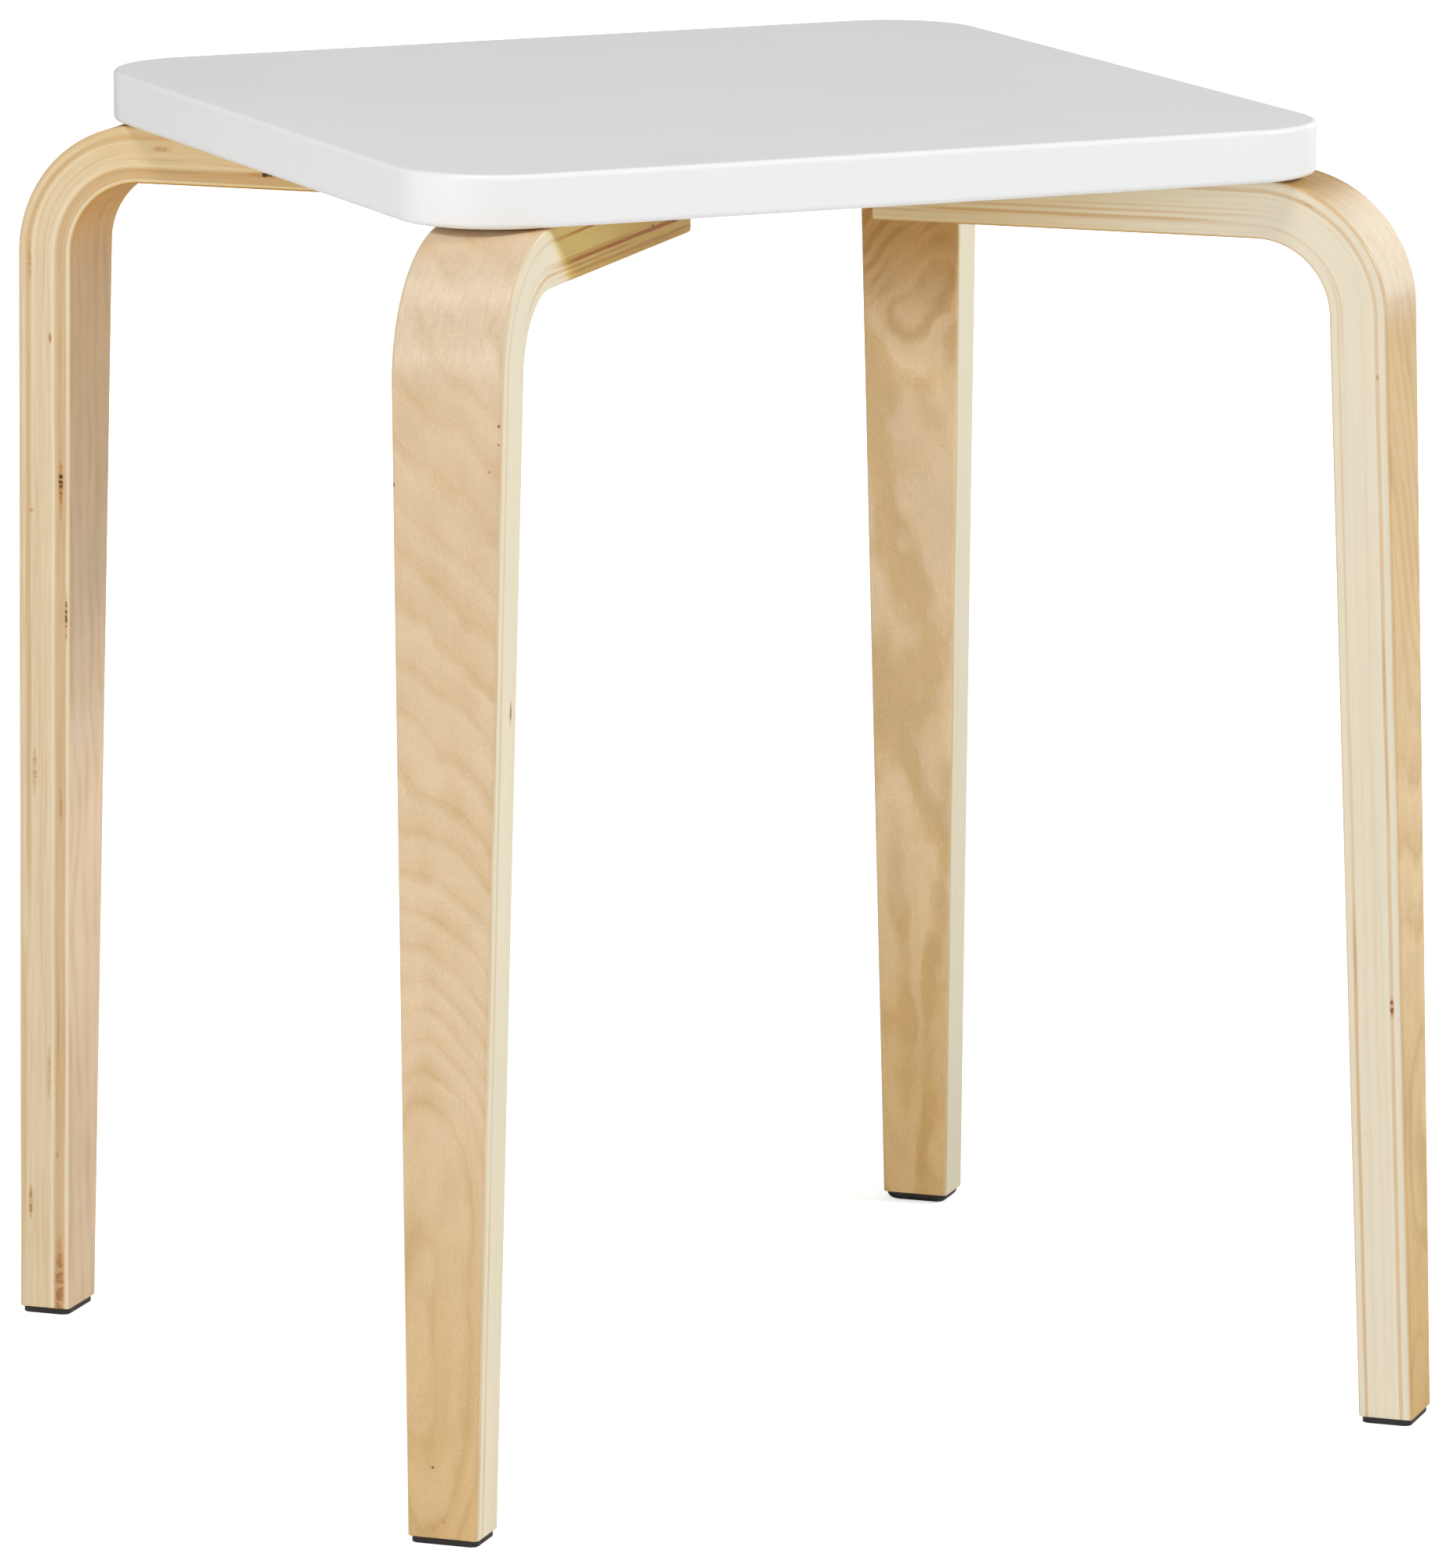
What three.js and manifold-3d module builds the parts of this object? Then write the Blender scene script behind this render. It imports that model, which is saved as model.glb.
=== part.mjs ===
// A stacking stool: a square lacquered board on four legs of bent, glued veneer. Each leg is an
// arm under the board, a bend and a tapering post that stands out past the board's corner, so
// that the posts of one stool slide down outside the board of the next.
// Millimetres, +Z up, floor at Z = 0, the board's sides along X and Y.
import * as THREE from "three";
import { mergeVertices } from "three/addons/utils/BufferGeometryUtils.js";
import Module from "manifold-3d";

const wasm = await Module();
wasm.setup();

// Whole stool
const seatHeight = 450; // floor to the top of the board
const fit = 0.3; // clearance between pieces that touch
const overrun = 1; // how far every cut runs past the face it starts from

// Seat board
const seatSide = 332;
const seatThickness = 18;
const seatCornerRadius = 35;
const seatEdgeRadius = 1.8;

// Legs
const legThickness = 20.3; // through the plies, in the arm and the bend
const footThickness = 19.2;
const armWidth = 39;
const footWidth = 25;
const bendRadius = 46.5; // at the outer face
const armGap = 68; // middle of the stool to the cut end of an arm
const legStandOut = 28.7; // post's outer face past the board's corner, at the board's height
const legEdgeRadius = 1.5;
const legEndEase = 0.5; // bevel round the cut ends
const legTurn = 2; // degrees that the cross of legs is turned under the board

// Glides under the posts
const padInset = 0.8; // wood's edge to the pad's edge
const padHeight = 2;
const padEdge = 0.5; // how far the lower edge is rounded, inwards and upwards alike
const domeInset = 0.9;
const domeHeight = 3;
const domeEdge = 3.3; // how far the dome draws in from its rim to its flat base
const glideCornerRadius = 2.5;

// Nails that hold the glides
const nailLength = 15; // in the wood
const nailDiameter = 2.4;
const nailHeadDiameter = 5.6;
const nailHeadHeight = 0.7;
const nailSink = 0.6; // base of the glide to the nail's head

// Bolts, washers and the inserts they screw into
const boltDiameter = 6;
const boltReach = 8; // length of the bolt in the board
const boltHeadDiameter = 10.5;
const boltHeadHeight = 3.3;
const boltHeadSink = 1; // arm's lower face to the bolt's head
const boltFaceDiameter = 7; // flat of the head round its socket
const boltTipEase = 0.8;
const socketAcrossFlats = 4;
const socketDepth = 2;
const washerDiameter = 12.4;
const washerThickness = 1.6;
const insertDiameter = 10;
const insertRidge = 0.6; // height of a ridge above the insert's core
const insertSpare = 2.5; // insert past the bolt's tip
const drillSpare = 1.2; // blind hole past the insert

// Places of the two bolts, as shares of the arm's flat stretch counted from its cut end
const boltShares = { inner: 0.2, outer: 0.65 };

// Facets
const bendSteps = 18;
const seatCornerSteps = 10;
const edgeSteps = 3;
const domeSteps = 5;
const turnedSteps = 16;
const socketSides = 6;
const insertRidges = 3;

// Levels and reaches that follow from the sizes above
const boardUnderside = seatHeight - seatThickness;
const armTop = boardUnderside - fit;
const armUnderside = armTop - legThickness;
const cornerReach = seatSide / Math.SQRT2 - seatCornerRadius * (Math.SQRT2 - 1);
const legReach = cornerReach + legStandOut;
const insertLength = boltReach + insertSpare;

// The four legs: the way each one points, counted from +X, its splay outwards and its lean
// sideways, all in degrees, and the glide it stands on. Bent veneer springs back unevenly, so
// no two posts stand quite alike.
const legs = [
  { name: "front", heading: 225, splay: 1.5, lean: 0, glide: "pad" },
  { name: "right", heading: 315, splay: 1.85, lean: 0, glide: "pad" },
  { name: "back", heading: 45, splay: 0.9, lean: -0.15, glide: "dome" },
  { name: "left", heading: 135, splay: 0.5, lean: 1.7, glide: "pad" },
];
const glides = {
  pad: { inset: padInset, height: padHeight, drawIn: padEdge, rise: padEdge, steps: edgeSteps },
  dome: { inset: domeInset, height: domeHeight, drawIn: domeEdge, rise: domeHeight, steps: domeSteps },
};

const radians = (degrees) => THREE.MathUtils.degToRad(degrees);

// Materials, one maker for each kind of surface
const finish = (colour, roughness, metalness) => () =>
  new THREE.MeshStandardMaterial({ color: colour, roughness, metalness });
const whiteLacquer = finish(0xe6e6e4, 0.4, 0);
const birch = finish(0xd9bd93, 0.55, 0);
const blackPlastic = finish(0x121212, 0.7, 0);
const zincSteel = finish(0xb9bcc0, 0.35, 1);
const brass = finish(0xc2a45c, 0.4, 1);

// Solid work: geometry to a closed solid and back
function solidOf(geometry) {
  const bare = geometry.clone();
  bare.deleteAttribute("normal");
  bare.deleteAttribute("uv");
  const merged = mergeVertices(bare);
  const vertProperties = new Float32Array(merged.attributes.position.array);
  const triVerts = new Uint32Array(merged.index.array);
  return new wasm.Manifold(new wasm.Mesh({ numProp: 3, vertProperties, triVerts }));
}

function geometryOf(solid) {
  const mesh = solid.getMesh();
  const geometry = new THREE.BufferGeometry();
  geometry.setAttribute("position", new THREE.BufferAttribute(mesh.vertProperties, 3));
  geometry.setIndex(new THREE.BufferAttribute(mesh.triVerts, 1));
  geometry.computeVertexNormals();
  return geometry;
}

// An upright cylinder from one level to another, with its axis at (x, y)
function drill(diameter, from, to, x = 0, y = 0, sides = turnedSteps) {
  const cylinder = new THREE.CylinderGeometry(diameter / 2, diameter / 2, to - from, sides);
  cylinder.rotateX(Math.PI / 2);
  cylinder.translate(x, y, (from + to) / 2);
  return solidOf(cylinder);
}

// A profile of [radius, level] points, rising along its outside, turned about the Z axis
function turned(profile) {
  const points = profile.map(([radius, level]) => new THREE.Vector2(radius, level));
  const lathe = new THREE.LatheGeometry(points, turnedSteps);
  return lathe.rotateX(Math.PI / 2);
}

// A rounded rectangle as [u, v] points about its own middle, anticlockwise
function roundedRectangle(length, width, radius, steps) {
  const points = [];
  for (let corner = 0; corner < 4; corner++) {
    const u = (corner === 0 || corner === 3 ? 1 : -1) * (length / 2 - radius);
    const v = (corner < 2 ? 1 : -1) * (width / 2 - radius);
    for (let step = 0; step <= steps; step++) {
      const angle = ((corner + step / steps) * Math.PI) / 2;
      points.push([u + radius * Math.cos(angle), v + radius * Math.sin(angle)]);
    }
  }
  return points;
}

// Rings of equal point counts joined into one closed solid, with a flat cap on each end
function loft(rings) {
  const count = rings[0].length;
  const centre = (ring) => ring.reduce((sum, p) => sum.add(p), new THREE.Vector3()).divideScalar(count);
  const points = [...rings.flat(), centre(rings[0]), centre(rings.at(-1))];
  const first = rings.length * count;
  const index = [];
  for (let i = 0; i < count; i++) {
    const j = (i + 1) % count;
    for (let r = 0; r + 1 < rings.length; r++) {
      const here = r * count;
      const next = here + count;
      index.push(here + i, here + j, next + j, here + i, next + j, next + i);
    }
    const last = (rings.length - 1) * count;
    index.push(first, j, i, first + 1, last + i, last + j);
  }
  const geometry = new THREE.BufferGeometry().setFromPoints(points);
  geometry.setIndex(index);
  return geometry;
}

// The stations of a leg in its own plane, x outwards and z up, from the arm's cut end to the
// foot. Each station gives the points on the outer and the inner face, and the width there.
function legShape(splay, lean, footLevel) {
  const bendX = legReach - (bendRadius * (1 - Math.sin(splay))) / Math.cos(splay);
  const bendZ = armTop - bendRadius;
  const stations = [];
  const station = (outer, inner, width, ease) => stations.push({ outer, inner, width, ease });
  const arm = (x, ease) => station([x, armTop], [x, armUnderside], armWidth, ease);
  arm(armGap, legEndEase);
  arm(armGap + legEndEase, 0);
  for (let step = 0; step <= bendSteps; step++) {
    const angle = THREE.MathUtils.lerp(Math.PI / 2, splay, step / bendSteps);
    const ray = (radius) => [bendX + radius * Math.cos(angle), bendZ + radius * Math.sin(angle)];
    station(ray(bendRadius), ray(bendRadius - legThickness), armWidth, 0);
  }
  const [topX, topZ] = stations.at(-1).outer;
  const post = (level, ease) => {
    const share = (level - footLevel) / (topZ - footLevel);
    const x = topX + (topZ - level) * Math.tan(splay);
    const thickness = THREE.MathUtils.lerp(footThickness, legThickness, share);
    const width = THREE.MathUtils.lerp(footWidth, armWidth, share);
    station([x, level], [x - thickness, level], width, ease);
  };
  post(footLevel + legEndEase, 0);
  post(footLevel, legEndEase);
  const sideways = (level) => Math.max(0, armUnderside - level) * Math.tan(lean);
  const { outer, inner } = stations.at(-1);
  const foot = { x: (outer[0] + inner[0]) / 2, y: sideways(footLevel) };
  return { stations, sideways, foot, flatEnd: bendX };
}

// One station's outline, a rounded rectangle between its outer and its inner point, moved
// sideways by the lean
function legRing({ outer, inner, width, ease }, sideways) {
  const thickness = Math.hypot(inner[0] - outer[0], inner[1] - outer[1]);
  const outline = roundedRectangle(thickness - 2 * ease, width - 2 * ease, legEdgeRadius, edgeSteps);
  return outline.map(([u, v]) => {
    const share = u / thickness + 1 / 2;
    const x = THREE.MathUtils.lerp(inner[0], outer[0], share);
    const z = THREE.MathUtils.lerp(inner[1], outer[1], share);
    return new THREE.Vector3(x, sideways(z) - v, z);
  });
}

// Levels of the bolt stack under the board, from the head upwards
const headUnder = armUnderside + boltHeadSink;
const headTop = headUnder + boltHeadHeight;
const washerUnder = headTop + fit;
const washerTop = washerUnder + washerThickness;
const counterboreTop = washerTop + fit;
const boltTip = boardUnderside + boltReach;
const insertTop = boardUnderside + insertLength;

const boltPlaces = ({ flatEnd }) =>
  Object.entries(boltShares).map(([name, share]) => ({
    name,
    x: THREE.MathUtils.lerp(armGap, flatEnd, share),
  }));

function legSolid(shape, nailTop, footLevel) {
  const { stations, sideways, foot } = shape;
  let solid = solidOf(loft(stations.map((station) => legRing(station, sideways))));
  for (const { x } of boltPlaces(shape)) {
    const recess = washerDiameter + 2 * fit;
    solid = solid.subtract(drill(recess, armUnderside - overrun, counterboreTop, x));
    solid = solid.subtract(drill(boltDiameter + 2 * fit, armUnderside, armTop + overrun, x));
  }
  const nailBore = nailDiameter + 2 * fit;
  return solid.subtract(drill(nailBore, footLevel - overrun, nailTop + fit, foot.x, foot.y));
}

// The board is its rounded square carried up through the thickness, with both edges rounded
// over, and drilled from below for the inserts.
function seatSolid(insertPlaces) {
  const ring = (inset, z) => {
    const side = seatSide - 2 * inset;
    const outline = roundedRectangle(side, side, seatCornerRadius - inset, seatCornerSteps);
    return outline.map(([x, y]) => new THREE.Vector3(x, y, z));
  };
  const lower = [];
  const upper = [];
  for (let step = 0; step <= edgeSteps; step++) {
    const angle = ((step / edgeSteps) * Math.PI) / 2;
    const inset = seatEdgeRadius * (1 - Math.sin(angle));
    const rise = seatEdgeRadius * (1 - Math.cos(angle));
    lower.push(ring(inset, boardUnderside + rise));
    upper.unshift(ring(inset, seatHeight - rise));
  }
  let solid = solidOf(loft([...lower, ...upper]));
  for (const { x, y } of insertPlaces) {
    const bottom = boardUnderside - overrun;
    solid = solid.subtract(drill(insertDiameter + 2 * fit, bottom, insertTop + drillSpare, x, y));
  }
  return solid;
}

// A glide is its outline drawn in towards the floor along a quarter ellipse, with a recess
// below for the nail's head.
function glideSolid({ inset, height, drawIn, rise, steps }, middle) {
  const ring = (amount, z) => {
    const length = footThickness - 2 * (inset + amount);
    const width = footWidth - 2 * (inset + amount);
    const outline = roundedRectangle(length, width, glideCornerRadius, edgeSteps);
    return outline.map(([x, y]) => new THREE.Vector3(middle.x + x, middle.y + y, z));
  };
  const rings = [];
  for (let step = 0; step <= steps; step++) {
    const angle = ((step / steps) * Math.PI) / 2;
    rings.push(ring(drawIn * (1 - Math.sin(angle)), rise * (1 - Math.cos(angle))));
  }
  if (height > rise) rings.push(ring(0, height));
  const { x, y } = middle;
  const headSpace = drill(nailHeadDiameter + 2 * fit, -overrun, nailSink + nailHeadHeight + fit, x, y);
  const shankSpace = drill(nailDiameter + 2 * fit, -overrun, height + overrun, x, y);
  return solidOf(loft(rings)).subtract(headSpace).subtract(shankSpace);
}

function nailGeometry(tip, middle) {
  const shank = nailDiameter / 2;
  const head = nailHeadDiameter / 2;
  const headTopLevel = nailSink + nailHeadHeight;
  const profile = [
    [0, nailSink],
    [head, nailSink],
    [head, headTopLevel],
    [shank, headTopLevel],
    [shank, tip - nailDiameter],
    [0, tip],
  ];
  return turned(profile).translate(middle.x, middle.y, 0);
}

// Button-headed bolt, with its hexagon socket cut from below
function boltGeometry(x) {
  const shank = boltDiameter / 2;
  const face = boltFaceDiameter / 2;
  const crown = Array.from({ length: edgeSteps + 1 }, (_, step) => {
    const angle = ((step / edgeSteps) * Math.PI) / 2;
    const radius = THREE.MathUtils.lerp(face, boltHeadDiameter / 2, Math.sin(angle));
    return [radius, headTop - boltHeadHeight * Math.cos(angle)];
  });
  const profile = [
    [0, headUnder],
    ...crown,
    [shank, headTop],
    [shank, boltTip - boltTipEase],
    [shank - boltTipEase, boltTip],
    [0, boltTip],
  ];
  const socketCorner = socketAcrossFlats / Math.cos(Math.PI / socketSides);
  const socket = drill(socketCorner, headUnder - overrun, headUnder + socketDepth, 0, 0, socketSides);
  const solid = solidOf(turned(profile)).subtract(socket);
  return geometryOf(solid).translate(x, 0, 0);
}

function washerGeometry(x) {
  const bore = boltDiameter / 2 + fit;
  const rim = washerDiameter / 2;
  const profile = [
    [bore, washerUnder],
    [rim, washerUnder],
    [rim, washerTop],
    [bore, washerTop],
    [bore, washerUnder],
  ];
  return turned(profile).translate(x, 0, 0);
}

// Threaded insert: a sleeve whose outside carries ridges that bite into the board
function insertGeometry(x) {
  const bore = boltDiameter / 2 + fit;
  const rim = insertDiameter / 2;
  const core = rim - insertRidge;
  const pitch = insertLength / insertRidges;
  const ridges = Array.from({ length: insertRidges }, (_, ridge) => [
    [core, boardUnderside + ridge * pitch],
    [core, boardUnderside + (ridge + 1 / 2) * pitch],
    [rim, boardUnderside + (ridge + 1 / 2) * pitch],
    [rim, boardUnderside + (ridge + 1) * pitch],
  ]).flat();
  const profile = [[bore, boardUnderside], ...ridges, [bore, insertTop], [bore, boardUnderside]];
  return turned(profile).translate(x, 0, 0);
}

function piece(name, geometry, material) {
  const mesh = new THREE.Mesh(geometry, material());
  mesh.name = name;
  return mesh;
}

// Assembly: each leg with its glide, nail, bolts, washers and inserts is a group turned to its
// own heading. The inserts sit in the board.
const stool = new THREE.Group();
stool.name = "stacking_stool";
const insertPlaces = [];
for (const { name, heading, splay, lean, glide } of legs) {
  const stand = glides[glide];
  const footLevel = stand.height + fit;
  const nailTop = footLevel + nailLength;
  const shape = legShape(radians(splay), radians(lean), footLevel);
  const turn = radians(heading + legTurn);
  const corner = new THREE.Group();
  corner.name = `corner_${name}`;
  corner.rotation.z = turn;
  corner.add(piece(`leg_${name}`, geometryOf(legSolid(shape, nailTop, footLevel)), birch));
  corner.add(piece(`glide_${name}`, geometryOf(glideSolid(stand, shape.foot)), blackPlastic));
  corner.add(piece(`glide_nail_${name}`, nailGeometry(nailTop, shape.foot), zincSteel));
  for (const bolt of boltPlaces(shape)) {
    const place = `${name}_${bolt.name}`;
    corner.add(piece(`bolt_${place}`, boltGeometry(bolt.x), zincSteel));
    corner.add(piece(`washer_${place}`, washerGeometry(bolt.x), zincSteel));
    corner.add(piece(`insert_${place}`, insertGeometry(bolt.x), brass));
    insertPlaces.push({ x: bolt.x * Math.cos(turn), y: bolt.x * Math.sin(turn) });
  }
  stool.add(corner);
}
stool.add(piece("seat_board", geometryOf(seatSolid(insertPlaces)), whiteLacquer));

export default stool;
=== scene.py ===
# %% [markdown]
# # A stacking stool
#
# The stool is a square, white-lacquered board on four legs. Each leg is a stack of birch veneers,
# glued and bent round a form in one go: a flat arm under the board, a bend, and a post that
# tapers towards the floor. A black plastic glide is nailed under each post.
#
# The measured model is loaded first and stays as it is. It says where each piece is and how big.
# Each piece is then made again with finer curves and a real surface, and stands in for its
# measured one.

# %% The measured model
from math import cos, pi, radians, sin, tan

import bpy
import numpy as np
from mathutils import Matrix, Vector


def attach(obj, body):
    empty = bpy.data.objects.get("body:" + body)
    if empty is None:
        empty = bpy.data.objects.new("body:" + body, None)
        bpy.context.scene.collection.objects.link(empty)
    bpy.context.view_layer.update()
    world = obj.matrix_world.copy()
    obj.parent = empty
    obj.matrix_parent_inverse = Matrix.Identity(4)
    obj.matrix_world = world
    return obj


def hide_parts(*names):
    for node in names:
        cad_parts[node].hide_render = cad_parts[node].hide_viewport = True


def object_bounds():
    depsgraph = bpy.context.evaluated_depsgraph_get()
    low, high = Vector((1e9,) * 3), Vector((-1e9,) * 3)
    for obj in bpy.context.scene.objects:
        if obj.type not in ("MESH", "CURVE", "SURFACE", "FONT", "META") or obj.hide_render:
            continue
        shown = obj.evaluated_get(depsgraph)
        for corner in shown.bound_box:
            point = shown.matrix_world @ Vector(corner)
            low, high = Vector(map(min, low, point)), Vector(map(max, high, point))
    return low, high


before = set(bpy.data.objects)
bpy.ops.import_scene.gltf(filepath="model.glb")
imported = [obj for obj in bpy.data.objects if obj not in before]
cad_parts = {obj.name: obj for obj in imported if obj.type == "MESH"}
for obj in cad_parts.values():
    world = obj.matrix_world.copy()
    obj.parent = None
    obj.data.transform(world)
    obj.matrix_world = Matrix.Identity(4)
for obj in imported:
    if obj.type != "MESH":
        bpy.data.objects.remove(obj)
measured_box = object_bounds()
corners = [tuple(round(v, 4) for v in corner) for corner in measured_box]
print("measured pieces:", len(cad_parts), "box:", corners)

# %% [markdown]
# ## Sizes
#
# Every size has one name and is written once, in millimetres times `MM`, because Blender works in
# metres. Sizes that follow from others are worked out, so that a change runs through the stool.

# %% Sizes of the board, the legs and the glides
MM = 0.001

SEAT_TOP = 450 * MM
SEAT_SIDE = 332 * MM
SEAT_THICKNESS = 18 * MM
SEAT_CORNER = 35 * MM
SEAT_EDGE = 1.8 * MM
FIT = 0.3 * MM

LEG_THICKNESS = 20.3 * MM
FOOT_THICKNESS = 19.2 * MM
ARM_WIDTH = 39 * MM
FOOT_WIDTH = 25 * MM
BEND_RADIUS = 46.5 * MM
ARM_GAP = 68 * MM
STAND_OUT = 28.7 * MM
LEG_EDGE = 1.6 * MM
END_EASE = 0.5 * MM

BOARD_UNDERSIDE = SEAT_TOP - SEAT_THICKNESS
ARM_TOP = BOARD_UNDERSIDE - FIT
ARM_UNDERSIDE = ARM_TOP - LEG_THICKNESS
CORNER_REACH = SEAT_SIDE / 2**0.5 - SEAT_CORNER * (2**0.5 - 1)
LEG_REACH = CORNER_REACH + STAND_OUT
print(f"a leg reaches {LEG_REACH / MM:.1f} mm out, its arm lies at {ARM_TOP / MM:.1f} mm")

# %% [markdown]
# The four legs aren't alike: bent veneer springs back a little, and each leg its own way. The
# heading is counted from +X, the splay leans a post outwards and the lean moves it sideways.

# %% How each leg stands
LEGS = {
    "front": {"heading": 227, "splay": 1.5, "lean": 0, "glide": "pad"},
    "right": {"heading": 317, "splay": 1.85, "lean": 0, "glide": "pad"},
    "back": {"heading": 47, "splay": 0.9, "lean": -0.15, "glide": "dome"},
    "left": {"heading": 137, "splay": 0.5, "lean": 1.7, "glide": "pad"},
}
GLIDES = {
    "pad": {"inset": 0.8 * MM, "height": 2 * MM, "draw_in": 0.5 * MM, "rise": 0.5 * MM},
    "dome": {"inset": 0.9 * MM, "height": 3 * MM, "draw_in": 3.3 * MM, "rise": 3 * MM},
}
GLIDE_CORNER = 2.5 * MM

# %% Sizes of the fasteners
OVERRUN = 1 * MM  # how far a drill runs past the face that it starts from

HEAD_SINK = 1 * MM  # the arm's underside to the bolt's head
HEAD_HEIGHT = 3.3 * MM
HEAD_RADIUS = 5.25 * MM
HEAD_FLAT = 3.5 * MM  # radius of the flat round the socket
SOCKET_RADIUS = 2.31 * MM
SOCKET_DEPTH = 2 * MM
BOLT_RADIUS = 3 * MM
BOLT_REACH = 8 * MM  # length in the board
TIP_RADIUS = 2.2 * MM
TIP_LENGTH = 0.8 * MM

WASHER_RADIUS = 6.2 * MM
WASHER_THICKNESS = 1.6 * MM
WASHER_EASE = 0.1 * MM

INSERT_LENGTH = 10.5 * MM
INSERT_RADIUS = 4.4 * MM
RIDGE_RADIUS = 5 * MM
RIDGES = 6
DRILL_SPARE = 1.2 * MM  # how much deeper than the insert its hole is

NAIL_RADIUS = 1.2 * MM
NAIL_LENGTH = 15 * MM  # in the wood
NAIL_HEAD = 2.8 * MM  # radius
NAIL_SINK = 0.6 * MM  # the glide's base to the nail's head
NAIL_HEAD_HEIGHT = 0.7 * MM
NAIL_HEAD_EASE = (0.2 * MM, 0.1 * MM)  # inwards, upwards
NAIL_TAPER = 2.4 * MM
NAIL_POINT = 0.05 * MM

HEAD_UNDER = ARM_UNDERSIDE + HEAD_SINK
HEAD_TOP = HEAD_UNDER + HEAD_HEIGHT
WASHER_UNDER = HEAD_TOP + FIT
WASHER_TOP = WASHER_UNDER + WASHER_THICKNESS
print(f"a counterbore is {(WASHER_TOP + FIT - ARM_UNDERSIDE) / MM:.1f} mm deep")

# %% [markdown]
# ## Making surfaces
#
# Nearly every piece is a skin over a row of rings: an outline that is carried along a path while
# it changes size. Numpy works out all the rings as one array, and `skin` joins each ring to the
# next. The other way would be to model by hand from a cube, but a formula keeps the sizes true.

# %% Outlines and skins
CORNER_STEPS = 7


def quarter(steps=CORNER_STEPS):
    """Sine and cosine over a quarter turn: how far a rounded edge has come round."""
    angle = np.linspace(0, pi / 2, steps + 1)
    return np.sin(angle), np.cos(angle)


def rounded_outline(length, width, radius, steps=CORNER_STEPS, support=0.3 * MM):
    """Anticlockwise outlines of rounded rectangles, one for each length, width and radius.

    A corner is its centre plus the radius times (cos a, sin a). One more point lies just past
    either end of each quarter circle, so that smooth shading stays off the flats.
    """
    length, width, radius = np.broadcast_arrays(*np.atleast_1d(length, width, radius))
    rise, run = quarter(steps)
    arc = radius[:, None, None] * np.stack([run, rise], -1)
    before = np.stack([radius, -support + 0 * radius], -1)[:, None]
    corner = np.concatenate([before, arc, before[:, :, ::-1]], 1)
    half = np.stack([length / 2 - radius, width / 2 - radius], -1)
    sides = []
    for turn, (u, v) in enumerate([(1, 1), (-1, 1), (-1, -1), (1, -1)]):
        c, s = round(cos(turn * pi / 2)), round(sin(turn * pi / 2))
        turned_corner = corner @ np.array([[c, s], [-s, c]])
        sides.append(turned_corner + (half * (u, v))[:, None])
    return np.concatenate(sides, 1)


def skin(name, rings, ends="capped"):
    """An object whose surface joins each ring to the next, where rings is (rings, points, 3).

    Its ends are closed by flat faces, or joined to each other when the rings come full circle.
    """
    count, around = rings.shape[:2]
    ring = np.arange(count if ends == "joined" else count - 1)[:, None] * around
    here, there = np.arange(around), np.roll(np.arange(around), -1)
    following = (ring + around) % (count * around)
    quads = np.stack([ring + here, ring + there, following + there, following + here], -1)
    faces = quads.reshape(-1, 4).tolist()
    if ends == "capped":
        faces += [here[::-1].tolist(), ((count - 1) * around + here).tolist()]
    mesh = bpy.data.meshes.new(name)
    mesh.from_pydata(rings.reshape(-1, 3).tolist(), [], faces)
    piece = bpy.data.objects.new(name, mesh)
    bpy.context.scene.collection.objects.link(piece)
    return piece


def turned(name, profile, centre=(0, 0), steps=64, ends="capped"):
    """A lathe's work: each [radius, level] of the profile becomes a circle about the centre."""
    radius, level = np.array(profile, float).T
    angle = np.arange(steps) * 2 * pi / steps
    x = centre[0] + radius[:, None] * np.cos(angle)
    y = centre[1] + radius[:, None] * np.sin(angle)
    return skin(name, np.stack([x, y, level[:, None] + 0 * x], -1), ends)


# %% [markdown]
# ## Drilling
#
# The bolts sit in counterbores in the arms, and the inserts in blind holes in the board. A hole is
# cut with a Boolean modifier, whose result is kept as the piece's own mesh. The tool that cuts is
# thrown away. Last, every crease over 35 degrees is marked sharp, and the rest shades smoothly.


# %% Cutting holes and finishing a surface
def cut(piece, tools):
    """Take the tools' volume out of the piece."""
    for tool in tools:
        modifier = piece.modifiers.new("Cut", "BOOLEAN")
        modifier.operation = "DIFFERENCE"
        modifier.solver = "EXACT"
        modifier.object = tool
    seen = piece.evaluated_get(bpy.context.evaluated_depsgraph_get())
    whole, piece.data = piece.data, bpy.data.meshes.new_from_object(seen)
    piece.data.name = piece.name
    piece.modifiers.clear()
    bpy.data.meshes.remove(whole)
    for tool in tools:
        bpy.data.objects.remove(tool)


def drill(radius, start, end, centre, steps=64):
    """A round tool that stands upright at the centre, from one level to another."""
    return turned("tool", [[radius, start], [radius, end]], centre, steps)


def smooth(piece, crease=35):
    piece.data.shade_smooth()
    piece.data.set_sharp_from_angle(angle=radians(crease))


def stands_for(piece, node, material):
    """The piece hides a measured node and takes its place on the root body, with its finish."""
    piece.data.materials.clear()
    piece.data.materials.append(material)
    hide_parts(node)
    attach(piece, "root")


# %% [markdown]
# ## Shader sums
#
# A material is a web of nodes. Written out by hand it hides what it does, so `Value` lets sums be
# written as sums: `1 - mask` adds a Math node and links it. Any other node comes from `add`.


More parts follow.
